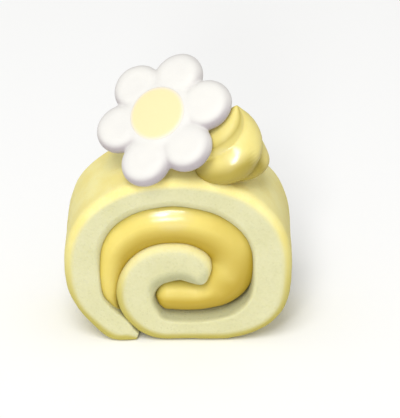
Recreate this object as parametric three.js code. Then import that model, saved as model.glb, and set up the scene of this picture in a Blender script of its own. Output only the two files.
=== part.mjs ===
// Slice of swiss roll cake: a sponge sheet rolled round custard cream, with a piped cream
// swirl and a white sugar daisy on top.
//
// Millimetres, +Z up. The slice rests on Z = 0. Its cut faces look along -Y (front) and +Y,
// and X runs across the roll. The origin is the middle of the flat spot that it rests on.

import * as THREE from 'three';

// ---------------------------------------------------------------- driving dimensions

const SLICE_DEPTH = 36;          // between the two cut faces
const CONTACT_GAP = 0.3;         // between pieces that touch

// Middle line of the sponge sheet's outer turn: an ellipse above its widest level and a
// squarer curve below it, where the weight of the roll has pressed it flat.
const TURN = {
  halfWidth: 33.9,
  widestLevel: 31,
  rise: 28.5,
  drop: 26.2,
  roundTop: 2.2,                 // exponent of the upper curve
  squareBottom: 3.4,             // exponent of the lower curve
};
const SHEET = { thickness: 12, pressed: 10.8 };   // at the sides, and under the weight

// Stations are [x, z, thickness] of the sheet's middle line on the cut face.
const LOOSE_END = [[-14.3, 0.8, 1.6], [-17.7, 2.6, 5.8], [-21.9, 5.3, 9]];
const FOLD = [[-4.5, 5.4, 10.8], [-9.4, 7.4, 11.6], [-13.2, 12.2, 12.8], [-14.9, 18, 14.2],
  [-13, 23.8, 15], [-8.2, 28, 15.2], [-1.8, 29.8, 15.2], [2.8, 29.2, 14.6], [6.6, 27.2, 13.4],
  [9.6, 24, 12]];
const FOLD_END = 6;              // length of the sheet's round end, in the middle

const CRUST_ROUNDING = 3;        // of the cut edge along the crust
const CRUMB_ROUNDING = { looseEnd: 0.8, turn: 4, fold: 6.8 };   // along the custard

// Middle line of the custard, from its thin end at the seam to its blunt end inside.
const CUSTARD_LINE = [[-22.9, 15.2], [-24.4, 22.5], [-23.4, 31.8], [-18, 40.2], [-9.5, 44.7],
  [0, 45.2], [9.6, 43.2], [17.2, 37.8], [20.2, 28.8], [18, 20.6], [11, 16.2], [3.5, 15.8],
  [-2.2, 16.1], [-7.3, 16.2]];
const CUSTARD = {
  recess: 1.3,                   // of its crown, behind the cut face
  edgeRecess: 6.2,               // of its two edges
  reach: 12,                     // most that it spreads to either side
  bluntEnd: 5,                   // length of its rounded end
};

const SWIRL = {
  x: 17.4,
  y: -5.2,
  radius: 14.8,
  foot: 0.42,                    // radius of the base, as a share of the radius
  height: 24.8,
  ribs: 3,
  groove: 0.22,                  // depth of the grooves, as a share of the radius
  start: 95,                     // direction of the first rib at the base, degrees
  twist: 190,                    // degrees, from the base to the tip
  settle: 0.08,                  // share of the height over which the base's slope evens out
  lean: 2.8,                     // of the tip, to the right
};

// Each petal is [direction in degrees, reach from the middle, radius of its round end].
const PETALS = [[150, 23.6, 9.0], [90, 24.4, 9.0], [31, 26.2, 9.3], [-27, 25.4, 9.0],
  [-82, 26, 9.2], [-146, 23.8, 9.0]];
const FLOWER = {
  place: [-5.9, -2.2, 81.9],     // middle of its thickness
  normal: [-0.36, -0.56, 0.745], // the way that its face looks
  thickness: 6.4,
  edgeRounding: 4.6,
  hub: 14.2,                     // radius inside which the petals are one sheet
  crease: 0.9,                   // softness of the creases between petals
  centreRadius: 9.7,
  centreSink: 1.4,               // depth of the shallow seat of the yellow centre
  centreDome: 0.7,               // rise of the yellow centre above the petals
};

const COLOUR = {
  sponge: '#ece4b4',
  custard: '#e9cd63',
  swirl: '#f3dc7c',
  petal: '#fbf9f4',
  centre: '#fdf3b2',
};

// ---------------------------------------------------------------- helpers

const radians = THREE.MathUtils.degToRad;
const { lerp, clamp } = THREE.MathUtils;

function signedPower(value, exponent) {
  return Math.sign(value) * Math.abs(value) ** exponent;
}

function signedVolume(positions, triangles) {
  const [a, b, c] = [new THREE.Vector3(), new THREE.Vector3(), new THREE.Vector3()];
  let volume = 0;
  for (const [i, j, k] of triangles) {
    a.fromArray(positions, 3 * i);
    b.fromArray(positions, 3 * j);
    c.fromArray(positions, 3 * k);
    volume += a.dot(b.cross(c)) / 6;
  }
  return volume;
}

// Closed solid through rings of equally many points, with a fan over each end.
function loft(rings) {
  const size = rings[0].length;
  const positions = rings.flat().flatMap((point) => point.toArray());
  const triangles = [];
  for (let r = 0; r < rings.length - 1; r += 1) {
    for (let i = 0; i < size; i += 1) {
      const [a, b] = [r * size + i, r * size + ((i + 1) % size)];
      triangles.push([a, b, b + size], [a, b + size, a + size]);
    }
  }
  for (const ring of [0, rings.length - 1]) {
    const middle = new THREE.Vector3();
    rings[ring].forEach((point) => middle.addScaledVector(point, 1 / size));
    const hub = positions.length / 3;
    positions.push(...middle.toArray());
    for (let i = 0; i < size; i += 1) {
      const [a, b] = [ring * size + i, ring * size + ((i + 1) % size)];
      triangles.push(ring === 0 ? [hub, b, a] : [hub, a, b]);
    }
  }
  if (signedVolume(positions, triangles) < 0) triangles.forEach((corners) => corners.reverse());
  const geometry = new THREE.BufferGeometry();
  geometry.setAttribute('position', new THREE.Float32BufferAttribute(positions, 3));
  geometry.setIndex(triangles.flat());
  geometry.computeVertexNormals();
  return geometry;
}

function piece(name, geometry, colour, roughness) {
  const material = new THREE.MeshStandardMaterial({ color: colour, roughness, metalness: 0 });
  const mesh = new THREE.Mesh(geometry, material);
  mesh.name = name;
  return mesh;
}

// Stations along a smooth curve through [x, z, thickness] points: evenly spaced, and closer
// together over the round end, where the width falls off like an ellipse. The side direction
// points to the left of the course, which is the crust's side of the sheet.
function smoothStations(course, count, endLength, endCount) {
  const points = course.map(([x, z, thickness = 0]) => new THREE.Vector3(x, thickness, z));
  const curve = new THREE.CatmullRomCurve3(points, false, 'centripetal');
  curve.arcLengthDivisions = 600;
  const endShare = endLength / curve.getLength();
  const shares = [];
  for (let i = 0; i <= count; i += 1) shares.push((1 - endShare) * (i / count));
  for (let i = 1; i <= endCount; i += 1) {
    shares.push(1 - endShare + endShare * Math.sin((Math.PI / 2) * (i / (endCount + 0.4))));
  }
  return shares.map((share) => {
    const [point, tangent] = [curve.getPointAt(share), curve.getTangentAt(share)];
    const length = Math.hypot(tangent.x, tangent.z);
    const intoEnd = Math.max(0, 1 - (1 - share) / endShare);
    return {
      share,
      x: point.x,
      z: point.z,
      width: Math.sqrt(1 - intoEnd ** 2),
      thickness: point.y * Math.sqrt(1 - intoEnd ** 2),
      sideX: -tangent.z / length,
      sideZ: tangent.x / length,
    };
  });
}

// ---------------------------------------------------------------- the rolled sheet

// [x, z, thickness] of the outer turn, for an angle counted from +X upwards.
function turnStation(degrees) {
  const angle = radians(degrees);
  const above = Math.sin(angle) >= 0;
  const exponent = 2 / (above ? TURN.roundTop : TURN.squareBottom);
  const x = TURN.halfWidth * signedPower(Math.cos(angle), exponent);
  const rise = (above ? TURN.rise : TURN.drop) * signedPower(Math.sin(angle), exponent);
  const pressed = above ? 0 : Math.sin(angle) ** 2;
  return [x, TURN.widestLevel + rise, lerp(SHEET.thickness, SHEET.pressed, pressed)];
}

// The sheet's stations from its loose end, clockwise round the turn, and in to the middle.
function sheetCourse() {
  const turn = [];
  for (let degrees = 222; degrees > -86; degrees -= 12) turn.push(turnStation(degrees));
  return [...LOOSE_END, ...turn, ...FOLD];
}

// A point of the cut face on the crust's side (1) or the custard's side (-1) of the sheet.
function sheetEdge(station, side) {
  const offset = (side * station.thickness) / 2;
  const z = station.z + offset * station.sideZ;
  return { x: station.x + offset * station.sideX, z: Math.max(z, 0) };
}

// Rounding of the cut edge along the custard, for a share of the sheet's length.
function crumbRounding(share) {
  const opened = clamp((share - 0.05) / 0.12, 0, 1);
  const folded = clamp((share - 0.86) / 0.1, 0, 1);
  const turn = lerp(CRUMB_ROUNDING.looseEnd, CRUMB_ROUNDING.turn, opened);
  return lerp(turn, CRUMB_ROUNDING.fold, folded);
}

// Loop across the sheet with its four corners rounded: [distance towards the crust, y].
function sheetSection({ thickness, share }) {
  const steps = 3;
  const half = thickness / 2;
  const depth = SLICE_DEPTH / 2;
  const corners = [[1, -1], [1, 1], [-1, 1], [-1, -1]];
  return corners.flatMap(([side, face]) => {
    const radius = Math.min(side > 0 ? CRUST_ROUNDING : crumbRounding(share), 0.92 * half);
    const corner = [];
    for (let i = 0; i <= steps; i += 1) {
      const turned = side === face ? i : steps - i;
      const angle = (Math.PI / 2) * (turned / steps);
      const across = half - radius * (1 - Math.cos(angle));
      const along = depth - radius * (1 - Math.sin(angle));
      corner.push([side * across, face * along]);
    }
    return corner;
  });
}

function spongeSheet(stations) {
  return loft(stations.map((station) => sheetSection(station).map(([across, y]) => {
    const z = station.z + across * station.sideZ;
    return new THREE.Vector3(station.x + across * station.sideX, y, Math.max(z, 0));
  })));
}

// ---------------------------------------------------------------- the custard

// Distance from a point along a direction to the nearest of a set of segments.
function reachTo(segments, from, direction) {
  let nearest = CUSTARD.reach;
  for (const [a, b] of segments) {
    const [ex, ez] = [b.x - a.x, b.z - a.z];
    const cross = direction.x * ez - direction.z * ex;
    if (Math.abs(cross) > 1e-9) {
      const [dx, dz] = [a.x - from.x, a.z - from.z];
      const distance = (dx * ez - dz * ex) / cross;
      const along = (dx * direction.z - dz * direction.x) / cross;
      if (distance > 0 && along >= 0 && along <= 1) nearest = Math.min(nearest, distance);
    }
  }
  return nearest - CONTACT_GAP;
}

// Evens out a row of reaches without letting any of them grow.
function levelled(reaches) {
  return reaches.map((reach, i) => {
    const before = reaches[Math.max(i - 1, 0)];
    const after = reaches[Math.min(i + 1, reaches.length - 1)];
    return Math.min(reach, (before + 2 * reach + after) / 4);
  });
}

// The custard fills the channel between the turns of the sheet, domed on both cut faces.
function custardRope(sheet) {
  const tip = sheet[sheet.length - 1];
  const segments = sheet.slice(1).flatMap((station, i) => (
    [-1, 1].map((side) => [sheetEdge(sheet[i], side), sheetEdge(station, side)])));
  segments.push([sheetEdge(tip, 1), sheetEdge(tip, -1)]);
  const steps = 8;
  const body = 54;
  const line = smoothStations(CUSTARD_LINE, body, CUSTARD.bluntEnd, 4);
  const sides = [1, -1].map((side) => levelled(line.map((station, i) => {
    const from = line[Math.min(i, body)];
    return reachTo(segments, from, { x: side * from.sideX, z: side * from.sideZ });
  })));
  const edge = SLICE_DEPTH / 2 - CUSTARD.edgeRecess;
  return loft(line.map(({ x, z, width, sideX, sideZ }, i) => {
    const [outward, inward] = [sides[0][i], sides[1][i]];
    const half = (width * (outward + inward)) / 2;
    const dome = Math.min(CUSTARD.edgeRecess - CUSTARD.recess, 0.9 * half);
    const ring = [];
    for (let k = 0; k < 2 * steps; k += 1) {
      const angle = (Math.PI * k) / steps;
      const across = (outward - inward) / 2 - half * Math.cos(angle);
      const bulge = Math.abs(Math.sin(angle)) ** 0.9;
      const y = k % steps === 0 ? 0 : -Math.sign(Math.sin(angle)) * (edge + dome * bulge);
      ring.push(new THREE.Vector3(x + across * sideX, y, z + across * sideZ));
    }
    return ring;
  }));
}

// ---------------------------------------------------------------- the piped swirl

// Height of the crust above a place on the roll.
function crownHeight(sheet, x) {
  let height = 0;
  for (let i = 1; i < sheet.length; i += 1) {
    const [a, b] = [sheetEdge(sheet[i - 1], 1), sheetEdge(sheet[i], 1)];
    if ((a.x - x) * (b.x - x) <= 0 && a.x !== b.x) {
      height = Math.max(height, lerp(a.z, b.z, (x - a.x) / (b.x - a.x)));
    }
  }
  return height;
}

// Ring round the swirl at a share of its height, drawn in to a share of its radius there.
function swirlRing(sheet, up, share) {
  const around = 60;
  const base = crownHeight(sheet, SWIRL.x) + CONTACT_GAP;
  const swell = Math.sqrt(1 - (1 - clamp(up / 0.18, 0, 1)) ** 2);
  const taper = Math.max(1 - up ** 2.3, 0.01);
  const radius = share * SWIRL.radius * lerp(SWIRL.foot, 1, swell) * taper;
  const turned = radians(SWIRL.start + SWIRL.twist * up);
  const ring = [];
  for (let i = 0; i < around; i += 1) {
    const angle = (2 * Math.PI * i) / around;
    const rib = Math.abs(Math.cos((SWIRL.ribs * angle) / 2));
    const reach = radius * (1 - SWIRL.groove * (1 - rib));
    const x = SWIRL.x + SWIRL.lean * up ** 2 + reach * Math.cos(angle + turned);
    const y = SWIRL.y + reach * Math.sin(angle + turned);
    const onCrown = crownHeight(sheet, x) + CONTACT_GAP;
    const settled = lerp(onCrown, base, clamp(up / SWIRL.settle, 0, 1));
    ring.push(new THREE.Vector3(x, y, Math.max(settled + SWIRL.height * up, onCrown)));
  }
  return ring;
}

// Round ribs that wind up to a point, on a base that follows the roll's crown.
function pipedSwirl(sheet) {
  const levels = 20;
  const underside = [0.1, 0.4, 0.7].map((share) => swirlRing(sheet, 0, share));
  const sides = [];
  for (let level = 0; level <= levels; level += 1) {
    sides.push(swirlRing(sheet, (level / levels) ** 1.2, 1));
  }
  return loft([...underside, ...sides]);
}

// ---------------------------------------------------------------- the daisy

// How far a point of the daisy's plane lies inside its outline (negative outside it).
function insideDaisy(x, y) {
  const depths = PETALS.map(([direction, reach, radius]) => {
    const angle = radians(direction);
    const [cx, cy] = [(reach - radius) * Math.cos(angle), (reach - radius) * Math.sin(angle)];
    return radius - Math.hypot(x - cx, y - cy);
  });
  depths.push(FLOWER.hub - Math.hypot(x, y));
  const most = Math.max(...depths);
  const sum = depths.reduce((total, depth) => total + Math.exp((depth - most) / FLOWER.crease), 0);
  return most + FLOWER.crease * Math.log(sum);
}

function daisyOutline(angle) {
  let [inner, outer] = [FLOWER.centreRadius, 40];
  for (let i = 0; i < 30; i += 1) {
    const middle = (inner + outer) / 2;
    if (insideDaisy(middle * Math.cos(angle), middle * Math.sin(angle)) > 0) inner = middle;
    else outer = middle;
  }
  return inner;
}

// Half the daisy's thickness over a point of its plane: full, and rounded off at the edge.
function halfThickness(x, y) {
  const inside = clamp(insideDaisy(x, y) / FLOWER.edgeRounding, 0, 1);
  return (FLOWER.thickness / 2) * Math.sqrt(1 - (1 - inside) ** 2);
}

function daisyRing(share, face) {
  const around = 84;
  const seat = FLOWER.centreRadius + CONTACT_GAP;
  const ring = [];
  for (let i = 0; i < around; i += 1) {
    const angle = (2 * Math.PI * i) / around;
    const radius = lerp(seat, daisyOutline(angle), share);
    const [x, y] = [radius * Math.cos(angle), radius * Math.sin(angle)];
    const height = share >= 1 ? 0 : face * halfThickness(x, y);
    ring.push(new THREE.Vector3(x, y, height));
  }
  return ring;
}

function daisy() {
  const shares = [0, 0.25, 0.5, 0.68, 0.82, 0.92, 0.98];
  const seatFloor = daisyRing(0, 1).map(({ x, y }) => (
    new THREE.Vector3(0.985 * x, 0.985 * y, FLOWER.thickness / 2 - FLOWER.centreSink)));
  const front = shares.map((share) => daisyRing(share, 1));
  const back = shares.toReversed().map((share) => daisyRing(share, -1));
  return loft([seatFloor, ...front, daisyRing(1, 0), ...back]);
}

// A low round dome that lies in the daisy's seat.
function daisyCentre() {
  const around = 36;
  const top = FLOWER.thickness / 2;
  const floor = top - FLOWER.centreSink + CONTACT_GAP;
  const profile = [[0.97, floor], [0.97, top - 0.3], [0.9, top + 0.2 * FLOWER.centreDome],
    [0.7, top + 0.65 * FLOWER.centreDome], [0.35, top + 0.95 * FLOWER.centreDome]];
  return loft(profile.map(([share, height]) => {
    const ring = [];
    for (let i = 0; i < around; i += 1) {
      const angle = (2 * Math.PI * i) / around;
      const radius = share * FLOWER.centreRadius;
      ring.push(new THREE.Vector3(radius * Math.cos(angle), radius * Math.sin(angle), height));
    }
    return ring;
  }));
}

// The daisy leans back: its own +Z is the way it looks, and its +Y points up the slope.
function daisyGroup() {
  const normal = new THREE.Vector3(...FLOWER.normal).normalize();
  const side = new THREE.Vector3(0, 0, 1).cross(normal).normalize();
  const uphill = normal.clone().cross(side);
  const group = new THREE.Group();
  group.quaternion.setFromRotationMatrix(new THREE.Matrix4().makeBasis(side, uphill, normal));
  group.position.set(...FLOWER.place);
  group.add(piece('flower', daisy(), COLOUR.petal, 0.6));
  group.add(piece('flower_centre', daisyCentre(), COLOUR.centre, 0.6));
  return group;
}

// ---------------------------------------------------------------- the slice

const sheet = smoothStations(sheetCourse(), 96, FOLD_END, 6);

const cake = new THREE.Group();
cake.add(piece('sponge', spongeSheet(sheet), COLOUR.sponge, 0.85));
cake.add(piece('custard', custardRope(sheet), COLOUR.custard, 0.3));
cake.add(piece('cream_swirl', pipedSwirl(sheet), COLOUR.swirl, 0.35));
cake.add(daisyGroup());

export default cake;
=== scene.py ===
"""Swiss roll slice: a rolled sponge sheet filled with custard, with a piped cream swirl and a
white sugar daisy on its crown.

Lengths in the tables below are millimetres. +Z is up, the slice rests on Z = 0, and its cut
faces look along -Y (front) and +Y.
"""

import math

import bmesh
import bpy
import numpy as np
from mathutils import Matrix, Vector


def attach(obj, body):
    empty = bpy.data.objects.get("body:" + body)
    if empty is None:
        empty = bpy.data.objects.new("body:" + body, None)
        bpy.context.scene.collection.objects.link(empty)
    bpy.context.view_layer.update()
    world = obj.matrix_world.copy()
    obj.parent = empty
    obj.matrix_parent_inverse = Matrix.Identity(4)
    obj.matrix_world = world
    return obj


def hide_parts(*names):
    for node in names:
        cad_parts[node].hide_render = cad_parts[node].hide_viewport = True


bl_info = {
    "name": "Swiss Roll Slice",
    "version": (1, 0, 0),
    "blender": (4, 5, 0),
    "location": "View3D > Sidebar > Swiss Roll",
    "description": "Bakes a slice of swiss roll with custard, piped cream and a sugar daisy",
    "category": "Add Mesh",
}

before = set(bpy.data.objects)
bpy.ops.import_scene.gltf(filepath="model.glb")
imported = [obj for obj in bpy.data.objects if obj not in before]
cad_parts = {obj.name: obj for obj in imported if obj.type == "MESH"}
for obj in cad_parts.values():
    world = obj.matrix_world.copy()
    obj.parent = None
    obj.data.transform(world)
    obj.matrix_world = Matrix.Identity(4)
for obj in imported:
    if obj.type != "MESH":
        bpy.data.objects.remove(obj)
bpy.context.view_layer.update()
MM = 0.001
HAIR = 0.1 * MM
SHARP_ANGLE = math.radians(60)

# ------------------------------------------------------------------ shape of the slice

# Middle line of the sheet's outer turn: rounder above its widest level, squarer below it.
TURN_HALF_WIDTH, TURN_LEVEL, TURN_RISE, TURN_DROP = 33.9, 31.0, 28.5, 26.2
TURN_ROUND_TOP, TURN_SQUARE_BOTTOM = 2.2, 3.4
TURN_DEGREES = range(222, -86, -12)
SHEET_THICKNESS, PRESSED_THICKNESS = 12.0, 10.8
# Extra thickness of the sheet: (direction in degrees, thickness) from the foot up its right side,
# and one thickness from the top down its left side.
FULLER_RIGHT = [(-86, 0.2), (-66, 0.9), (-46, 2.0), (-20, 2.1), (0, 1.8), (45, 1.8), (90, 0.8)]
FULLER_LEFT = 0.5
# Gap at the seam, then how far the lower left corner is worn off and at which share of the way.
SEAM_GAP = 0.7
CORNER_WEAR, CORNER_SHARE, CORNER_SPREAD = 1.5, 0.1, 0.035

# (x, z, thickness) of the sheet before and after its outer turn.
LOOSE_END = [(-14.2, 0.7, 1.8), (-18.0, 2.1, 7.0), (-22.2, 4.8, 10.2)]
FOLD = [
    (-4.5, 5.4, 10.8), (-9.4, 7.4, 11.6), (-13.2, 12.2, 12.8), (-14.9, 18.0, 14.2),
    (-13.2, 24.1, 15.6), (-8.5, 28.8, 16.9), (-1.7, 30.8, 16.8), (3.1, 30.1, 15.9),
    (6.7, 27.3, 14.6), (9.3, 24.3, 13.8),
]

# The sheet's crumb edge along its way in: share of the way, reach of the rounding across the
# sheet and inwards, its bulge (1 is a plain bevel, 2 a round edge), and how far in from the cut
# face the crumb is darkened with painted shade.
CRUMB_EDGE = [
    (0.00, 0.5, 0.5, 2.0, 6.0), (0.08, 0.8, 0.8, 2.0, 6.0), (0.16, 1.2, 1.4, 2.0, 5.5),
    (0.24, 3.4, 3.6, 1.4, 5.0), (0.30, 4.3, 4.2, 1.25, 5.0), (0.42, 4.3, 4.2, 1.25, 5.0),
    (0.50, 2.4, 3.0, 1.3, 4.0), (0.57, 0.6, 3.0, 1.4, 3.0), (0.64, 0.9, 5.0, 1.2, 1.6),
    (0.69, 1.8, 6.2, 1.15, 1.2), (0.74, 2.6, 6.4, 1.15, 1.2), (0.79, 2.4, 6.0, 1.15, 1.3),
    (0.82, 1.6, 4.6, 1.4, 1.8), (0.86, 3.0, 5.0, 2.0, 3.0), (0.90, 6.0, 6.2, 2.0, 3.0),
    (0.94, 6.8, 6.8, 2.0, 2.8), (1.00, 6.8, 6.8, 2.0, 2.6),
]

# (x, z, width) of the custard between the turns, from its thin end at the seam.
CUSTARD_LINE = [
    (-19.2, 8.2, 1.2), (-21.6, 11.2, 3.0), (-23.2, 14.8, 5.8), (-24.4, 19.6, 8.6),
    (-24.4, 24.9, 10.8), (-23.3, 30.1, 12.8), (-21.4, 35.2, 15.4), (-18.0, 39.5, 17.0),
    (-13.6, 42.7, 18.2), (-8.7, 44.4, 18.0), (-3.2, 45.1, 17.9), (2.2, 44.9, 17.9),
    (7.4, 43.6, 18.1), (12.4, 41.4, 19.0), (16.5, 37.8, 19.2), (18.8, 33.1, 18.6),
    (19.2, 28.2, 18.2), (18.0, 23.9, 17.6), (15.1, 20.0, 16.2), (11.1, 17.5, 13.8),
    (6.7, 16.3, 12.5), (2.1, 16.2, 12.4), (-3.0, 16.5, 12.6), (-8.2, 16.6, 12.3),
]

# (direction in degrees, reach from the middle, radius of its round end) of each petal.
PETALS = [
    (150, 23.6, 9.0), (90, 24.4, 9.0), (31, 26.2, 9.3), (-27, 25.4, 9.0), (-82, 26.0, 9.2),
    (-146, 23.8, 9.0),
]
DAISY_MIDDLE = Vector((-5.9, -2.2, 81.9)) * MM
DAISY_FACING = Vector((-0.36, -0.56, 0.745)).normalized()

SWIRL_MIDDLE = Vector((17.4, -5.2, 62.0)) * MM
RIB_STEPS, SWIRL_LEVELS = 24, 24
# (place to the right in radii, height up to which the cream is darkened with painted shade) of
# the swirl's foot, and the height over which that fades.
SWIRL_SHADE = [(-1.0, 65.3), (0.5, 74.2), (0.7, 71.0), (0.9, 66.5)]
SWIRL_SHADE_FADE = 5.0

# (x, z) of the middle of the glossiest place, and its reach along x and z.
CUSTARD_GLOSS = ((-2.0, 50.5), (9.0, 6.8))
SWIRL_GLOSS = ((18.0, 74.4), (6.4, 3.1))

# The side of the custard and of the petals that takes the most painted shade.
CUSTARD_SHADED_SIDE = (0.3, 0.0, -0.95)
PETAL_SHADED_SIDE = (0.4, -0.92, 0.0)

# Name, place and size in metres, and power in watts of each lamp.
LAMPS = [
    ("key", (-0.45, -1.76, 3.42), 2.0, 66.4),
    ("glint", (-0.36, -1.48, 1.32), 0.36, 6.0),
    ("low_glint", (-0.20, -1.83, 0.74), 0.38, 5.2),
]
LAMP_TARGET = Vector((0, 0, 0.04))
CAMERA_TARGET = Vector((0.007645, 0.005594, 0.040866))
SKY_STRENGTH = 0.5


def paint(code):
    """Linear colour of a hexadecimal one."""
    parts = [int(code[i:i + 2], 16) / 255 for i in (1, 3, 5)]
    return tuple(c / 12.92 if c <= 0.04045 else ((c + 0.055) / 1.055) ** 2.4 for c in parts)


# ------------------------------------------------------------------ settings


def length(name, description, millimetres):
    """A length setting, given here in millimetres."""
    return bpy.props.FloatProperty(
        name=name, description=description, default=millimetres * MM, min=0.0,
        subtype="DISTANCE", unit="LENGTH", precision=4)


def colour(name, description, code):
    """A colour setting."""
    return bpy.props.FloatVectorProperty(
        name=name, description=description, default=paint(code), min=0.0, max=1.0,
        subtype="COLOR", size=3)


class SpongeSettings(bpy.types.PropertyGroup):
    """Sizes and colours of the rolled sponge."""

    depth: length("Slice depth", "Distance between the two cut faces", 36.0)
    crust_rounding: length("Crust edge", "Rounding of the cut edge along the crust", 3.0)
    crust_depth: length("Crust depth", "How deep the baked colour reaches", 1.5)
    crust_fade: length("Crust fade", "Over how much it fades into the crumb", 2.2)
    unevenness: length("Unevenness", "Height of the soft dents of the baked sheet", 0.3)
    crumb: colour("Crumb", "Pale inside of the sponge", "#dad7ae")
    crumb_shade: colour("Crumb shade", "Slightly denser crumb", "#d3d0a3")
    # Painted shade on the crumb inside the channels and under the fold.
    crumb_painted_shade: colour("Moist crumb", "Crumb that the custard has moistened", "#abab84")
    crust: colour("Crust", "Baked outside of the sponge", "#faf0a9")
    crust_shade: colour("Crust shade", "Deeper baked patches", "#f4e591")
    # Painted shade: the crust darkens to this colour towards the foot of the slice.
    base: colour("Base crust", "Deeper baked crust at the foot of the slice", "#bcb05a")


class CustardSettings(bpy.types.PropertyGroup):
    """Sizes and colours of the custard filling."""

    recess: length("Recess", "Depth of the custard's crown behind the cut face", 0.5)
    dome: length("Dome", "Rise of the crown above the custard's edges", 9.0)
    fullness: bpy.props.FloatProperty(
        name="Fullness", description="How nearly flush the custard lies along the outer turn",
        default=0.2, min=0.0, max=0.9, subtype="FACTOR")
    cream: colour("Custard", "Set custard", "#ead876")
    patch: colour("Custard patches", "Slightly deeper patches of custard", "#e4cf68")
    # Painted shade on the custard below its crown, at its lower right and at its ends.
    deep: colour("Deep custard", "Custard that lies against the sponge", "#b99d24")


class SwirlSettings(bpy.types.PropertyGroup):
    """Sizes and colour of the piped cream swirl."""

    radius: length("Radius", "Widest radius of the swirl", 14.8)
    height: length("Height", "Height above the crust", 26.0)
    lean: length("Lean", "How far the tip leans to the right", 2.8)
    foot: bpy.props.FloatProperty(
        name="Foot", description="Radius of the foot as a share of the radius", default=0.42,
        min=0.1, max=1.0, subtype="FACTOR")
    groove: bpy.props.FloatProperty(
        name="Groove", description="Depth of the grooves as a share of the radius",
        default=0.22, min=0.0, max=0.6, subtype="FACTOR")
    ribs: bpy.props.IntProperty(
        name="Ribs", description="Number of round ribs", default=3, min=2, max=12)
    start: bpy.props.FloatProperty(
        name="Start", description="Direction of the first rib at the foot",
        default=math.radians(103), subtype="ANGLE", unit="ROTATION")
    twist: bpy.props.FloatProperty(
        name="Twist", description="Turn of the ribs from the foot to the tip",
        default=math.radians(190), subtype="ANGLE", unit="ROTATION")
    cream: colour("Cream", "Piped yellow cream", "#ebdd89")
    patch: colour("Cream patches", "Slightly deeper patches of cream", "#e7d67a")
    # Painted shade in the swirl's grooves and on its foot.
    deep: colour("Deep cream", "Cream in the grooves and at the foot", "#9c8812")


class DaisySettings(bpy.types.PropertyGroup):
    """Sizes and colours of the sugar daisy."""

    thickness: length("Thickness", "Thickness of the sugar paste", 6.4)
    rounding: length("Edge", "Width of the rounded rim of a petal", 4.6)
    hub: length("Hub", "Radius inside which the petals are one sheet", 14.2)
    centre: length("Centre", "Radius of the yellow centre", 10.2)
    petal: colour("Petal", "White sugar paste", "#e8e6e0")
    petal_shade: colour("Petal shade", "Cooler patches of the paste", "#e5e3de")
    # Painted shade under the petals' rims, most on their lower right.
    rim_shade_and_fade: colour("Underside", "Cooler paste under the petals' rims", "#a9a0a4")
    yolk: colour("Centre colour", "Pale yellow sugar paste", "#f6e2ae")


class StageSettings(bpy.types.PropertyGroup):
    """Floor, light and camera."""

    floor: colour("Floor", "Plain pale floor", "#fefefd")
    distance: bpy.props.FloatProperty(
        name="Distance", description="From the camera to the slice", default=0.85344,
        min=0.1, subtype="DISTANCE", unit="LENGTH")
    elevation: bpy.props.FloatProperty(
        name="Elevation", description="Height of the camera above the horizon",
        default=math.radians(30), subtype="ANGLE", unit="ROTATION")
    lens: bpy.props.FloatProperty(
        name="Lens", description="Focal length", default=206.7, min=10.0,
        subtype="DISTANCE_CAMERA", unit="CAMERA")


# ------------------------------------------------------------------ modelling by hand


def start_piece():
    """Leave everything deselected before a new piece is added."""
    if bpy.context.object and bpy.context.object.mode != "OBJECT":
        bpy.ops.object.mode_set(mode="OBJECT")
    bpy.ops.object.select_all(action="DESELECT")


def edit():
    """Go into edit mode with everything selected."""
    bpy.ops.object.mode_set(mode="EDIT")
    bpy.ops.mesh.select_all(action="SELECT")


def finish_edit(name):
    """Close the edited mesh, point its faces outwards and name the piece."""
    bpy.ops.mesh.select_all(action="SELECT")
    bpy.ops.mesh.remove_doubles(threshold=HAIR / 10)
    bpy.ops.mesh.normals_make_consistent(inside=False)
    bpy.ops.object.mode_set(mode="OBJECT")
    piece = bpy.context.object
    piece.name = piece.data.name = name
    return piece


def pick(test, mode="VERT"):
    """Select the vertices, edges or faces of the edited mesh that pass a test."""
    bpy.ops.mesh.select_mode(type=mode)
    bpy.ops.mesh.select_all(action="DESELECT")
    shape = bmesh.from_edit_mesh(bpy.context.object.data)
    for part in {"VERT": shape.verts, "EDGE": shape.edges, "FACE": shape.faces}[mode]:
        if test(part):
            part.select_set(True)
    shape.select_flush_mode()
    bmesh.update_edit_mesh(bpy.context.object.data)


def move(step):
    bpy.ops.transform.translate(value=step)


def resize(factors, centre=(0, 0, 0)):
    bpy.ops.transform.resize(value=factors, center_override=centre)


def turn(angle, axis, centre=(0, 0, 0)):
    """Turn the selection by the right-hand rule about an axis through a point."""
    bpy.ops.transform.rotate(value=-angle, orient_axis=axis, center_override=centre)


def extrude(step):
    bpy.ops.mesh.extrude_region_move(TRANSFORM_OT_translate={"value": step})


def modify(piece, kind, **values):
    """Add a modifier to a piece and apply it."""
    modifier = piece.modifiers.new(kind.title(), kind)
    for name, value in values.items():
        setattr(modifier, name, value)
    bpy.context.view_layer.objects.active = piece
    bpy.ops.object.modifier_apply(modifier=modifier.name)


def dent(piece, height, size):
    """Raise and lower a surface softly, as hand work does."""
    clouds = bpy.data.textures.new(piece.name + "_dents", "CLOUDS")
    clouds.noise_scale = size
    modify(piece, "DISPLACE", texture=clouds, texture_coords="LOCAL", strength=height,
           mid_level=0.5)


def ready(piece, node, material):
    """Shade a finished piece, give it its material and hand it to the frame."""
    start_piece()
    piece.select_set(True)
    bpy.context.view_layer.objects.active = piece
    bpy.ops.object.shade_smooth_by_angle(angle=SHARP_ANGLE)
    piece.data.materials.clear()
    piece.data.materials.append(material)
    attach(piece, "root")
    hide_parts(node)


# ------------------------------------------------------------------ lines to sweep along


class Station:
    """A place on a swept line, with its width and the way across it."""

    def __init__(self, point, ahead, share):
        self.place = Vector((point.x, 0, point.z)) * MM
        self.width = point.y * MM
        self.heading = math.atan2(ahead.z, ahead.x)
        self.side = Vector((-math.sin(self.heading), 0, math.cos(self.heading)))
        self.share = share
        self.rise = 1.0


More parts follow.
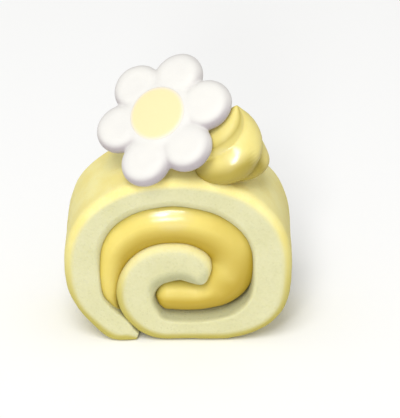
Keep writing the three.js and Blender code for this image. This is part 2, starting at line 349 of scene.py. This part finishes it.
def smooth_line(points, samples=16):
    """Dense points on the centripetal Catmull-Rom curve through the given ones."""
    points = [Vector((x, width, z)) for x, z, width in points]
    ends = [2 * points[0] - points[1], 2 * points[-1] - points[-2]]
    points = [ends[0], *points, ends[1]]
    dense = []
    for p0, p1, p2, p3 in zip(points, points[1:], points[2:], points[3:]):
        t1 = (p1 - p0).length ** 0.5
        t2 = t1 + (p2 - p1).length ** 0.5
        t3 = t2 + (p3 - p2).length ** 0.5
        for k in range(samples):
            t = t1 + (t2 - t1) * k / samples
            a1, a2 = p0.lerp(p1, t / t1), p1.lerp(p2, (t - t1) / (t2 - t1))
            a3 = p2.lerp(p3, (t - t2) / (t3 - t2))
            b1, b2 = a1.lerp(a2, t / t2), a2.lerp(a3, (t - t1) / (t3 - t1))
            dense.append(b1.lerp(b2, (t - t1) / (t2 - t1)))
    return [*dense, points[-2]]


def stations_along(points, count, round_end, end_rise=1.0, end_count=8):
    """Evenly spaced stations on a smooth line, and closer ones where its width rounds off."""
    dense = smooth_line(points)
    steps = [(b - a).length for a, b in zip(dense, dense[1:])]
    travelled = np.concatenate([[0.0], np.cumsum(steps)])
    total = travelled[-1]
    plain = 1 - round_end / total
    shares = [plain * i / count for i in range(count + 1)]
    shares += [plain + (1 - plain) * math.sin(math.pi / 2 * i / (end_count + 0.4))
               for i in range(1, end_count + 1)]
    stations = []
    for share in shares:
        i = min(int(np.searchsorted(travelled, share * total, side="right")), len(dense) - 1)
        before, after = dense[i - 1], dense[i]
        between = (share * total - travelled[i - 1]) / steps[i - 1]
        point = before.lerp(after, between)
        into_end = max(0.0, 1 - (1 - share) / (1 - plain))
        rounded = math.sqrt(max(1 - into_end ** 2, 0.0))
        point.y *= rounded
        ahead = dense[min(i + 5, len(dense) - 1)] - dense[max(i - 6, 0)]
        stations.append(Station(point, ahead, share))
        stations[-1].rise = end_rise + (1 - end_rise) * rounded
    return stations


def power(value, exponent):
    return math.copysign(abs(value) ** exponent, value)


def sheet_stations(count=150):
    """The sponge sheet from its loose end, clockwise round the turn and in to the middle."""
    outer = []
    for degrees in TURN_DEGREES:
        angle = math.radians(degrees)
        above = math.sin(angle) >= 0
        exponent = 2 / (TURN_ROUND_TOP if above else TURN_SQUARE_BOTTOM)
        x = TURN_HALF_WIDTH * power(math.cos(angle), exponent)
        rise = (TURN_RISE if above else TURN_DROP) * power(math.sin(angle), exponent)
        pressed = 0.0 if above else math.sin(angle) ** 2
        thickness = SHEET_THICKNESS + (PRESSED_THICKNESS - SHEET_THICKNESS) * pressed
        full = FULLER_LEFT
        if degrees < 90:
            full = float(np.interp(degrees, *np.array(FULLER_RIGHT).T))
        outer.append((x - full / 2 * math.cos(angle), TURN_LEVEL + rise
                      - full / 2 * math.sin(angle), thickness + full))
    stations = stations_along([*LOOSE_END, *outer, *FOLD], count, round_end=7.0)
    for station in stations:
        loose_tip = 1 - float(smooth(station.share / 0.03))
        station.rise = 1 - 0.04 * loose_tip
        settle(station)
    return stations


def settle(station):
    """Close the seam, wear the lower left corner rounder and press the crust on the floor."""
    seam = SEAM_GAP * MM * float(smooth((0.08 - station.share) / 0.04))
    from_corner = (station.share - CORNER_SHARE) / CORNER_SPREAD
    crumb = station.place - station.side * (station.width / 2 + seam)
    station.width += seam - CORNER_WEAR * MM * math.exp(-from_corner ** 2)
    if crumb.z + station.side.z * station.width < 0:
        station.width = -crumb.z / station.side.z
    station.place = crumb + station.side * station.width / 2


def sweep(stations):
    """Carry the selected face from station to station, turning and widening it."""
    for before, after in zip(stations, stations[1:]):
        extrude(after.place - before.place)
        step = (after.heading - before.heading + math.pi) % (2 * math.pi) - math.pi
        turn(-step, "Y", after.place)
        wider = after.width / before.width
        resize((wider, after.rise / before.rise, wider), after.place)


def ring_places(piece, stations):
    """The vertices of a swept piece in one row for each station, and the order that gives."""
    places = vertex_places(piece).astype(np.float64)
    owners = np.zeros(len(places), dtype=int)
    nearest = np.full(len(places), np.inf)
    for i, station in enumerate(stations):
        away = places - np.array(station.place)
        along = np.abs(away @ np.array((station.side.z, 0, -station.side.x)))
        beside = np.abs(away @ np.array(station.side)) > 0.501 * station.width + HAIR / 100
        along[beside] = np.inf
        owners[along < nearest] = i
        nearest = np.minimum(nearest, along)
    if len(set(np.bincount(owners, minlength=len(stations)))) != 1:
        raise RuntimeError("A station of the swept piece has lost or gained vertices")
    order = np.argsort(owners, kind="stable")
    return places[order].reshape(len(stations), -1, 3), order


def column(stations, field):
    """One field of every station, lined up with the rows of vertices."""
    return np.array([getattr(station, field) for station in stations])[:, None]


def smooth(values):
    """Smooth step from 0 to 1."""
    values = np.clip(values, 0, 1)
    return values * values * (3 - 2 * values)


def rising(values, start, reach):
    """Smooth step from 0 at the start to 1 a reach further."""
    return smooth((values - start) / reach)


def store(piece, name, values, order=None):
    """Keep one number for each vertex as an attribute that the material can read."""
    values = np.asarray(values, dtype=np.float32).ravel()
    if order is not None:
        values = values[np.argsort(order)]
    attribute = piece.data.attributes.new(name, "FLOAT", "POINT")
    attribute.data.foreach_set("value", values)


def vertex_places(piece):
    places = np.empty(len(piece.data.vertices) * 3, dtype=np.float32)
    piece.data.vertices.foreach_get("co", places)
    return places.reshape(-1, 3)


# ------------------------------------------------------------------ materials


class Recipe:
    """A node tree and short ways to add and join its nodes."""

    # Socket numbers of a Mix node: its two inputs and its output for each kind of data.
    MIX_SOCKETS = {"RGBA": (6, 7, 2), "FLOAT": (2, 3, 0)}

    def __init__(self, tree):
        self.tree = tree
        self.column = 0

    def add(self, kind, **values):
        node = self.tree.nodes.new(kind)
        self.column += 1
        node.location = (self.column * 190 - 1600, (self.column % 3) * -210)
        for name, value in values.items():
            setattr(node, name, value)
        return node

    def feed(self, source, target):
        """Join an output to a socket, or put a plain value or colour on it."""
        if isinstance(source, bpy.types.NodeSocket):
            self.tree.links.new(source, target)
        else:
            target.default_value = source

    def set(self, node, **values):
        """Feed a node's sockets by their names, written with underscores."""
        for name, value in values.items():
            self.feed(value, node.inputs[name.replace("_", " ")])
        return node

    def mix(self, amount, first, second, kind="RGBA", blend="MIX"):
        """Blend two colours or numbers."""
        node = self.add("ShaderNodeMix", data_type=kind, blend_type=blend)
        input_a, input_b, output = self.MIX_SOCKETS[kind]
        for source, socket in ((amount, 0), (first, input_a), (second, input_b)):
            self.feed(source, node.inputs[socket])
        return node.outputs[output]

    def ramp(self, value, start, end, low=0.0, high=1.0, interpolation="SMOOTHSTEP"):
        """Take a value from one range to another."""
        node = self.add("ShaderNodeMapRange", interpolation_type=interpolation)
        self.set(node, Value=value, From_Min=start, From_Max=end, To_Min=low, To_Max=high)
        return node.outputs["Result"]

    def attribute(self, name):
        """One of the piece's own attributes."""
        return self.add("ShaderNodeAttribute", attribute_name=name).outputs["Fac"]

    def place(self):
        """The place on the piece, in its own coordinates."""
        return self.add("ShaderNodeTexCoord").outputs["Object"]


def new_material(name):
    material = bpy.data.materials.new(name)
    material.use_nodes = True
    material.node_tree.nodes.clear()
    recipe = Recipe(material.node_tree)
    shader = recipe.add("ShaderNodeBsdfPrincipled")
    recipe.set(recipe.add("ShaderNodeOutputMaterial"), Surface=shader.outputs["BSDF"])
    return material, recipe, shader


def tone_group():
    """Soft mottling between two colours, with a fine height for bumps."""
    found = bpy.data.node_groups.get("Soft tone")
    if found:
        return found
    group = bpy.data.node_groups.new("Soft tone", "ShaderNodeTree")
    for name, kind, value in (
            ("Light", "NodeSocketColor", (1, 1, 1, 1)), ("Deep", "NodeSocketColor", (0, 0, 0, 1)),
            ("Patch Scale", "NodeSocketFloat", 60.0), ("Grain Scale", "NodeSocketFloat", 900.0),
            ("Grain Share", "NodeSocketFloat", 0.3)):
        socket = group.interface.new_socket(name, in_out="INPUT", socket_type=kind)
        socket.default_value = value
    group.interface.new_socket("Color", in_out="OUTPUT", socket_type="NodeSocketColor")
    group.interface.new_socket("Height", in_out="OUTPUT", socket_type="NodeSocketFloat")
    recipe = Recipe(group)
    inner = recipe.add("NodeGroupInput").outputs
    place = recipe.place()
    patches = recipe.add("ShaderNodeTexNoise", noise_dimensions="3D")
    recipe.set(patches, Vector=place, Scale=inner["Patch Scale"], Detail=2.0, Roughness=0.5)
    grain = recipe.add("ShaderNodeTexNoise", noise_dimensions="3D")
    recipe.set(grain, Vector=place, Scale=inner["Grain Scale"], Detail=3.0, Roughness=0.6)
    mottling = recipe.mix(
        inner["Grain Share"], patches.outputs["Fac"], grain.outputs["Fac"], "FLOAT")
    deep_share = recipe.ramp(mottling, 0.32, 0.68)
    recipe.set(recipe.add("NodeGroupOutput"), Height=grain.outputs["Fac"],
               Color=recipe.mix(deep_share, inner["Light"], inner["Deep"]))
    return group


def add_tone(recipe, light, deep, patch_scale, grain_scale, grain_share):
    """Place the mottling group in a material with its own values."""
    node = recipe.add("ShaderNodeGroup")
    node.node_tree = tone_group()
    recipe.set(node, Light=(*light, 1), Deep=(*deep, 1), Patch_Scale=patch_scale,
               Grain_Scale=grain_scale, Grain_Share=grain_share)
    return node.outputs


def add_painted_shade_and_fade(recipe, base, deep, share):
    """Blend towards a second colour by painted shade, on the daisy's centre by its rim's fade."""
    amount = recipe.add("ShaderNodeMath", operation="MULTIPLY")
    recipe.feed(recipe.attribute("painted_shade_and_fade"), amount.inputs[0])
    recipe.feed(share, amount.inputs[1])
    return recipe.mix(amount.outputs[0], base, (*deep, 1))


def add_bump(recipe, shader, height, distance, strength):
    bump = recipe.add("ShaderNodeBump")
    recipe.set(bump, Height=height, Distance=distance, Strength=strength)
    recipe.set(shader, Normal=bump.outputs["Normal"])


def soften(recipe, shader, weight, radius, scale):
    """Let light through the surface a little, as it does in food."""
    recipe.set(shader, Subsurface_Weight=weight, Subsurface_Radius=radius,
               Subsurface_Scale=scale)


def sponge_material(settings):
    """Pale fine crumb that turns to yellow baked crust at the outside of the sheet."""
    material, recipe, shader = new_material("Rolled sponge")
    crumb = add_tone(recipe, settings.crumb, settings.crumb_shade,
                     patch_scale=70.0, grain_scale=1100.0, grain_share=0.45)
    crust = add_tone(recipe, settings.crust, settings.crust_shade,
                     patch_scale=90.0, grain_scale=1500.0, grain_share=0.3)
    # Painted shade on the crumb in the channels and under the fold.
    shaded_crumb = add_painted_shade_and_fade(recipe, crumb["Color"], settings.crumb_painted_shade, 0.75)
    # Painted shade: the crust darkens towards the foot.
    foot_shaded_crust = recipe.mix(recipe.attribute("low"), crust["Color"], (*settings.base, 1))
    baked = recipe.attribute("crust")
    pores = recipe.add("ShaderNodeTexVoronoi", feature="SMOOTH_F1")
    recipe.set(pores, Vector=recipe.place(), Scale=780.0, Smoothness=0.4)
    open_pores = recipe.ramp(pores.outputs["Distance"], 0.1, 0.42)
    height = recipe.mix(baked, open_pores, crust["Height"], "FLOAT")
    # Painted shade: the colour darkens a little in the pores and in the low grain.
    pore_shade = recipe.ramp(height, 0.0, 1.0, 0.975, 1.0, "LINEAR")
    tinted = recipe.mix(1.0, recipe.mix(baked, shaded_crumb, foot_shaded_crust), pore_shade, blend="MULTIPLY")
    recipe.set(shader, Base_Color=tinted, Roughness=0.72, Specular_IOR_Level=0.25)
    add_bump(recipe, shader, height, distance=0.0002, strength=0.4)
    soften(recipe, shader, weight=0.25, radius=(1.0, 0.9, 0.5), scale=0.003)
    return material


def cream_material(name, settings, deep_share, gloss):
    """Smooth custard or cream with painted shade in its hollows, glossiest round one place."""
    (x, z), (reach_x, reach_z) = gloss
    material, recipe, shader = new_material(name)
    tone = add_tone(recipe, settings.cream, settings.patch,
                    patch_scale=55.0, grain_scale=420.0, grain_share=0.2)
    centred = recipe.add("ShaderNodeMapping")
    recipe.set(centred, Vector=recipe.place(), Location=(-x / reach_x, 0, -z / reach_z),
               Scale=(1 / (reach_x * MM), 0, 1 / (reach_z * MM)))
    apart = recipe.add("ShaderNodeVectorMath", operation="LENGTH")
    recipe.feed(centred.outputs["Vector"], apart.inputs[0])
    away = apart.outputs["Value"]
    recipe.set(shader, Base_Color=add_painted_shade_and_fade(recipe, tone["Color"], settings.deep, deep_share),
               Roughness=recipe.ramp(away, 0.45, 1.0, 0.3, 0.55), Specular_IOR_Level=0.5,
               Coat_Weight=recipe.ramp(away, 0.45, 1.0, 1.0, 0.05), Coat_Roughness=0.24,
               Coat_IOR=1.9)
    add_bump(recipe, shader, tone["Height"], distance=0.00005, strength=0.5)
    soften(recipe, shader, weight=0.12, radius=(1.0, 0.75, 0.25), scale=0.003)
    return material


def paste_material(name, light, deep, rim_shade_and_fade):
    """Satin sugar paste."""
    material, recipe, shader = new_material(name)
    tone = add_tone(recipe, light, deep, patch_scale=80.0, grain_scale=1800.0, grain_share=0.25)
    # Painted shade under the petals' rims; on the daisy's centre the fade to white at its rim.
    recipe.set(shader, Base_Color=add_painted_shade_and_fade(recipe, tone["Color"], rim_shade_and_fade, 0.9),
               Roughness=0.5, Specular_IOR_Level=0.3)
    add_bump(recipe, shader, tone["Height"], distance=0.00008, strength=0.5)
    soften(recipe, shader, weight=0.1, radius=(1.0, 0.95, 0.9), scale=0.002)
    return material


# ------------------------------------------------------------------ the pieces


class CAKE_OT_roll_sponge(bpy.types.Operator):
    """Roll the sponge sheet up and round its cut edges"""

    bl_idname = "cake.roll_sponge"
    bl_label = "Roll the sponge"

    def execute(self, context):
        settings = context.scene.cake_sponge
        stations = sheet_stations()
        first = stations[0]
        start_piece()
        bpy.ops.mesh.primitive_grid_add(x_subdivisions=14, y_subdivisions=32, size=1)
        edit()
        bpy.ops.mesh.dissolve_faces()
        resize((first.width, settings.depth * first.rise, 1))
        turn(-math.atan2(first.side.z, first.side.x), "Y")
        move(first.place)
        sweep(stations)
        bpy.ops.object.mode_set(mode="OBJECT")
        self.round_edges(context.object, stations, settings)
        edit()
        sponge = finish_edit("rolled_sponge")
        modify(sponge, "SUBSURF", levels=1, render_levels=1)
        dent(sponge, settings.unevenness * 2, 0.011)
        edit()
        pick(lambda vertex: vertex.co.z < HAIR / 10)
        resize((1, 1, 0))
        bpy.ops.object.mode_set(mode="OBJECT")
        ready(sponge, "sponge", sponge_material(settings))
        return {"FINISHED"}

    def round_edges(self, sponge, stations, settings):
        """Round the four long edges and mark how baked and how moist each vertex is."""
        places, order = ring_places(sponge, stations)
        sides = column(stations, "side")
        across = ((places - column(stations, "place")) * sides).sum(2)
        half = column(stations, "width") / 2
        shares = column(stations, "share")
        front = settings.depth / 2 * column(stations, "rise")
        steps, *rows = np.array(CRUMB_EDGE).T
        across_reach, inward_reach, bulge, shade_reach = (
            np.interp(shares, steps, row) for row in rows)

        # The crust's edge is sharper at the loose end and where the sheet folds in.
        on_crust = across > 0
        folding_in = smooth(1 - abs(shares - 0.84) / 0.06)
        crust_edge = settings.crust_rounding * (1 - 0.45 * folding_in)
        crust_edge = crust_edge * (0.4 + 0.6 * smooth(shares / 0.1))
        wide = np.where(on_crust, crust_edge, across_reach * MM)
        deep = np.where(on_crust, crust_edge, inward_reach * MM)
        bulge = np.where(on_crust, 2.0, bulge)
        fit = np.minimum(1, 0.92 * half / wide)
        wide, deep = wide * fit, deep * fit

        # A vertex near an edge moves to its own angle on the rounding from face to side.
        from_edge = half - np.abs(across)
        from_face = front - np.abs(places[..., 1])
        on_face = from_face < from_edge
        turned = np.where(on_face, 0.5 - 0.5 * from_edge / wide, 0.5 + 0.5 * from_face / deep)
        near = (turned >= 0) & (turned <= 1)
        angle = np.clip(turned, 0, 1) * np.pi / 2
        from_edge = np.where(near, wide * (1 - np.sin(angle) ** (2 / bulge)), from_edge)
        from_face = np.where(near, deep * (1 - np.cos(angle) ** (2 / bulge)), from_face)
        new_across = np.where(on_crust, 1, -1) * (half - from_edge)
        places += (new_across - across)[..., None] * sides
        places[..., 1] = np.sign(places[..., 1]) * (front - from_face)
        by_vertex = places.reshape(-1, 3)[np.argsort(order)]
        sponge.data.vertices.foreach_set("co", by_vertex.astype(np.float32).ravel())

        # The baked colour is thinner on the thin loose end and in the fold, deeper at the foot.
        level = places[..., 2]
        folded = rising(shares, 0.86, 0.05)
        thin = np.minimum(1, half / 0.0035)
        at_foot = 1 - rising(level, 0, 0.016)
        reach = settings.crust_depth * thin * (1 - 0.6 * folded) * (1 + 0.5 * at_foot)
        baked = 1 - rising(half - new_across, reach, settings.crust_fade * thin)
        store(sponge, "crust", baked * (1 - 0.45 * folded * rising(level, 0, 0.026)), order)
        # Painted shade: the low mark darkens the crust towards the foot, less high in the fold.
        store(sponge, "low", 1 - rising(level, 0.005, 0.056 - 0.026 * folded), order)

        # Painted shade on the crumb: beside the custard, at the folded end and under the fold.
        by_custard = 1 - rising(new_across, -0.002, 0.004)
        at_end = rising(shares, 0.985, 0.01)
        crumb_painted_shade = smooth(from_face / (shade_reach * MM)) * np.maximum(by_custard, at_end)
        on_edge = 1 - rising((half - np.abs(new_across)) / wide, 0.65, 0.5)
        under_fold = on_edge * folded * (1 - rising(across, -0.001, 0.002))
        under_fold = np.maximum(under_fold, 0.8 * rising(shares, 0.981, 0.013))
        store(sponge, "painted_shade_and_fade", np.maximum(crumb_painted_shade, under_fold), order)


class CAKE_OT_fill_custard(bpy.types.Operator):
    """Lay the custard between the turns of the sheet, domed on both cut faces"""

    bl_idname = "cake.fill_custard"
    bl_label = "Fill with custard"

    def execute(self, context):
        settings = context.scene.cake_custard
        crown = context.scene.cake_sponge.depth / 2 - settings.recess
        stations = stations_along(CUSTARD_LINE, 76, round_end=4.5, end_rise=0.68)
        for station in stations:
            station.rise *= float(0.8 + 0.2 * smooth(station.share / 0.14))
        first = stations[0]
        start_piece()
        bpy.ops.mesh.primitive_circle_add(vertices=20, radius=1, fill_type="NGON")
        edit()
        resize((first.width / 2, settings.dome, 1))
        for front in (-1, 1):
            pick(lambda vertex: vertex.co.y * front > HAIR)
            move((0, front * (crown - settings.dome), 0))
            pick(lambda vertex: vertex.co.y * front > HAIR and vertex.co.x > HAIR / 10)
            resize((1, 1 - settings.fullness, 1), (0, front * crown, 0))
        bpy.ops.mesh.select_all(action="SELECT")
        turn(-math.atan2(first.side.z, first.side.x), "Y")
        move(first.place)
        resize((1, first.rise, 1))
        pick(lambda face: True, "FACE")
        sweep(stations)
        bpy.ops.object.mode_set(mode="OBJECT")
        self.shade(context.object, stations)
        edit()
        custard = finish_edit("custard_filling")
        modify(custard, "SUBSURF", levels=2, render_levels=2)
        dent(custard, 0.0003, 0.009)
        ready(custard, "custard",
              cream_material("Custard", settings, 1.0, CUSTARD_GLOSS))
        return {"FINISHED"}

    def shade(self, custard, stations):
        """Mark painted shade below the custard's crown, at its lower right and at its ends."""
        places, order = ring_places(custard, stations)
        half = column(stations, "width") / 2
        shares = column(stations, "share")
        away = (places - column(stations, "place")) @ np.array(CUSTARD_SHADED_SIDE)
        spread = 0.38 * rising(shares, 0.12, 0.2) + 0.16 * rising(shares, 0.76, 0.1)
        below = smooth((away / half + spread) / 0.64)
        to_right = rising(places[..., 0], 0.006, 0.012)
        low_right = to_right * (0.37 + 0.55 * (1 - rising(places[..., 2], 0.022, 0.007)))
        ends = np.interp(shares, (0, 0.3, 0.8, 0.9), (0.45, 0, 0, 0.15))
        painted_shade_and_fade = 1 - (1 - np.maximum(below, low_right)) * (1 - ends)
        store(custard, "painted_shade_and_fade", painted_shade_and_fade, order)


class CAKE_OT_pipe_swirl(bpy.types.Operator):
    """Pipe the cream swirl onto the crust"""

    bl_idname = "cake.pipe_swirl"
    bl_label = "Pipe the swirl"

    def ring(self, settings, up):
        """Radius, turn and place of the swirl at a share of its height, below 0 in the crust."""
        swell = math.sqrt(1 - (1 - min(max(up, 0) / 0.18, 1)) ** 2)
        taper = max(1 - max(up, 0) ** 2.5, 0.01)
        radius = settings.radius * (settings.foot + (1 - settings.foot) * swell) * taper
        place = SWIRL_MIDDLE + Vector((settings.lean * max(up, 0) ** 2, 0, settings.height * up))
        return radius, settings.start + settings.twist * up, place

    def execute(self, context):
        settings = context.scene.cake_swirl
        start_piece()
        bpy.ops.mesh.primitive_circle_add(
            vertices=RIB_STEPS * settings.ribs, radius=1, fill_type="NGON")
        edit()
        for step in range(RIB_STEPS // 2 + 1):
            rib = abs(math.cos(math.pi * step / RIB_STEPS))
            self.draw_in(settings, step, 1 - settings.groove * (1 - rib))
        pick(lambda face: True, "FACE")
        heights = [-0.2, *((level / SWIRL_LEVELS) ** 1.2 for level in range(SWIRL_LEVELS + 1))]
        radius, angle, place = self.ring(settings, heights[0])
        resize((radius, radius, 1))
        turn(angle, "Z")
        move(place)
        for up in heights[1:]:
            new_radius, new_angle, new_place = self.ring(settings, up)
            extrude(new_place - place)
            turn(new_angle - angle, "Z", new_place)
            resize((new_radius / radius, new_radius / radius, 1), new_place)
            radius, angle, place = new_radius, new_angle, new_place
        bpy.ops.object.mode_set(mode="OBJECT")
        self.shade(context.object, settings, len(heights))
        edit()
        swirl = finish_edit("piped_swirl")
        modify(swirl, "SUBSURF", levels=1, render_levels=1)
        dent(swirl, 0.0004, 0.006)
        ready(swirl, "cream_swirl",
              cream_material("Piped cream", settings, 0.85, SWIRL_GLOSS))
        return {"FINISHED"}

    def draw_in(self, settings, step, factor):
        """Pull in the vertices that are some steps from the crest of a rib."""
        pitch = 2 * math.pi / (RIB_STEPS * settings.ribs)

        def on_step(vertex):
            index = round(math.atan2(vertex.co.y, vertex.co.x) / pitch) % RIB_STEPS
            return min(index, RIB_STEPS - index) == step

        pick(on_step)
        resize((factor, factor, 1))

    def shade(self, swirl, settings, rings):
        """Mark the painted shade in the grooves and on the foot of the swirl."""
        places = vertex_places(swirl).reshape(rings, -1, 3)
        off = (places[..., 0] - SWIRL_MIDDLE.x) / settings.radius
        shaded = np.interp(off, *np.array(SWIRL_SHADE).T) * MM
        foot = 1 - smooth((places[..., 2] - shaded) / (SWIRL_SHADE_FADE * MM) + 0.5)
        groove = 1 - np.abs(np.cos(np.arange(places.shape[1]) * math.pi / RIB_STEPS))
        store(swirl, "painted_shade_and_fade", np.maximum(groove ** 2 * 0.7, foot))


class CAKE_OT_shape_daisy(bpy.types.Operator):
    """Shape the sugar daisy and lean it on the roll and the swirl"""

    bl_idname = "cake.shape_daisy"
    bl_label = "Shape the daisy"

    def execute(self, context):
        settings = context.scene.cake_daisy
        petals = self.petals(settings)
        self.lean(petals)
        dent(petals, 0.0004, 0.008)
        ready(petals, "flower",
              paste_material("Petal paste", settings.petal, settings.petal_shade,
                             settings.rim_shade_and_fade))
        centre = self.centre(settings)
        self.lean(centre)
        ready(centre, "flower_centre",
              paste_material("Centre paste", settings.yolk, settings.yolk, settings.petal))
        return {"FINISHED"}

    def pad(self, settings, middle, radius):
        """A round pad of paste with a fully rounded rim."""
        start_piece()
        bpy.ops.mesh.primitive_cylinder_add(
            vertices=48, radius=radius, depth=2 * settings.rounding, location=middle)
        edit()
        pick(lambda edge: abs(edge.verts[0].co.z - edge.verts[1].co.z) < HAIR, "EDGE")
        bpy.ops.mesh.bevel(offset=0.98 * settings.rounding, segments=6)
        bpy.ops.mesh.select_all(action="SELECT")
        resize((1, 1, settings.thickness / 2 / settings.rounding))
        return finish_edit("petal_pad")

    def petals(self, settings):
        """Six petals pressed together round the hub, and the shade under their rims."""
        pads = [self.pad(settings, (0, 0, 0), settings.hub)]
        for degrees, reach, radius in PETALS:
            out = (reach - radius) * MM
            angle = math.radians(degrees)
            middle = (out * math.cos(angle), out * math.sin(angle), 0)
            pads.append(self.pad(settings, middle, radius * MM))
        start_piece()
        for pad in pads:
            pad.select_set(True)
        bpy.context.view_layer.objects.active = pads[0]
        bpy.ops.object.join()
        bpy.ops.object.transform_apply(location=True, rotation=True, scale=True)
        daisy = bpy.context.object
        daisy.name = daisy.data.name = "daisy_petals"
        modify(daisy, "REMESH", mode="VOXEL", voxel_size=0.00045)
        modify(daisy, "SMOOTH", factor=0.5, iterations=16)
        normals = np.empty(len(daisy.data.vertices) * 3, dtype=np.float32)
        daisy.data.vertices.foreach_get("normal", normals)
        # Painted shade on the rims' lower half, most on the lower right away from the light.
        lee = rising(normals.reshape(-1, 3) @ np.array(PETAL_SHADED_SIDE), -0.25, 1.0)
        rim = 1 - rising(vertex_places(daisy)[:, 2], 0.0016, 0.0016)
        store(daisy, "painted_shade_and_fade", rim * (0.22 + 0.78 * lee))
        return daisy

    def centre(self, settings):
        """The low yellow dome in the middle, paler at its rim."""
        sunk = 0.0012
        start_piece()
        bpy.ops.mesh.primitive_circle_add(
            vertices=64, radius=settings.centre, fill_type="NGON")
        edit()
        move((0, 0, settings.thickness / 2 - sunk))
        extrude((0, 0, sunk + HAIR))
        for inset, rise in ((0.0009, 0.00028), (0.0022, 0.00022), (0.003, 0.00014)):
            bpy.ops.mesh.inset(thickness=inset)
            move((0, 0, rise))
        centre = finish_edit("daisy_centre")
        modify(centre, "SUBSURF", levels=2, render_levels=2)
        from_middle = np.hypot(*vertex_places(centre)[:, :2].T)
        store(centre, "painted_shade_and_fade", rising(from_middle, settings.centre - 0.0019, 0.0021))
        return centre

    def lean(self, piece):
        """Turn a piece of the daisy to its facing and set it in place."""
        side = Vector((0, 0, 1)).cross(DAISY_FACING).normalized()
        uphill = DAISY_FACING.cross(side)
        tilt = Matrix((side, uphill, DAISY_FACING)).transposed().to_4x4()
        start_piece()
        piece.select_set(True)
        bpy.context.view_layer.objects.active = piece
        piece.matrix_world = Matrix.Translation(DAISY_MIDDLE) @ tilt
        bpy.ops.object.transform_apply(location=True, rotation=True, scale=True)


# ------------------------------------------------------------------ the stage


class CAKE_OT_lay_stage(bpy.types.Operator):
    """Lay a pale floor, hang soft lights and set the camera"""

    bl_idname = "cake.lay_stage"
    bl_label = "Lay the stage"

    def execute(self, context):
        settings = context.scene.cake_stage
        start_piece()
        bpy.ops.mesh.primitive_plane_add(size=6, location=(0, 1.5, 0))
        floor = context.object
        floor.name = "floor"
        material, recipe, shader = new_material("Pale floor")
        tone = add_tone(recipe, settings.floor, settings.floor,
                        patch_scale=4.0, grain_scale=60.0, grain_share=0.3)
        recipe.set(shader, Base_Color=tone["Color"], Roughness=0.9, Specular_IOR_Level=0.1)
        floor.data.materials.append(material)
        self.lights(context)
        self.camera(context, settings)
        context.scene.view_settings.view_transform = "Standard"
        return {"FINISHED"}

    def lights(self, context):
        world = bpy.data.worlds.new("Studio")
        world.use_nodes = True
        background = world.node_tree.nodes["Background"]
        background.inputs["Color"].default_value = (1.0, 1.0, 1.0, 1)
        background.inputs["Strength"].default_value = SKY_STRENGTH
        context.scene.world = world
        for name, place, size, watts in LAMPS:
            start_piece()
            bpy.ops.object.light_add(type="AREA", location=place)
            light = context.object
            light.name = name
            light.data.shape = "DISK"
            light.data.size = size
            light.data.energy = watts
            aim = LAMP_TARGET - light.location
            light.rotation_euler = aim.to_track_quat("-Z", "Y").to_euler()

    def camera(self, context, settings):
        back = Vector((0, -math.cos(settings.elevation), math.sin(settings.elevation)))
        start_piece()
        bpy.ops.object.camera_add(location=CAMERA_TARGET + back * settings.distance)
        camera = context.object
        camera.name = "camera"
        camera.rotation_euler = (-back).to_track_quat("-Z", "Y").to_euler()
        camera.data.lens = settings.lens
        camera.data.sensor_width = 36.0
        camera.data.clip_start = 0.01
        context.scene.camera = camera


class CAKE_PT_panel(bpy.types.Panel):
    """The slice's settings, one box for each piece"""

    bl_label = "Swiss Roll"
    bl_idname = "CAKE_PT_panel"
    bl_space_type = "VIEW_3D"
    bl_region_type = "UI"
    bl_category = "Swiss Roll"

    def draw(self, context):
        for name, operator in STEPS:
            box = self.layout.box()
            settings = getattr(context.scene, name)
            for field in settings.bl_rna.properties:
                if field.identifier not in {"rna_type", "name"}:
                    box.prop(settings, field.identifier)
            box.operator(operator)


STEPS = [
    ("cake_sponge", "cake.roll_sponge"),
    ("cake_custard", "cake.fill_custard"),
    ("cake_swirl", "cake.pipe_swirl"),
    ("cake_daisy", "cake.shape_daisy"),
    ("cake_stage", "cake.lay_stage"),
]
SETTINGS = {
    "cake_sponge": SpongeSettings,
    "cake_custard": CustardSettings,
    "cake_swirl": SwirlSettings,
    "cake_daisy": DaisySettings,
    "cake_stage": StageSettings,
}
CLASSES = [
    *SETTINGS.values(), CAKE_OT_roll_sponge, CAKE_OT_fill_custard, CAKE_OT_pipe_swirl,
    CAKE_OT_shape_daisy, CAKE_OT_lay_stage, CAKE_PT_panel,
]


def register():
    for cls in CLASSES:
        bpy.utils.register_class(cls)
    for name, settings in SETTINGS.items():
        setattr(bpy.types.Scene, name, bpy.props.PointerProperty(type=settings))


def unregister():
    for name in SETTINGS:
        delattr(bpy.types.Scene, name)
    for cls in reversed(CLASSES):
        bpy.utils.unregister_class(cls)


def main():
    register()
    bpy.ops.cake.roll_sponge()
    bpy.ops.cake.fill_custard()
    bpy.ops.cake.pipe_swirl()
    bpy.ops.cake.shape_daisy()
    bpy.ops.cake.lay_stage()


if __name__ == "__main__":
    main()
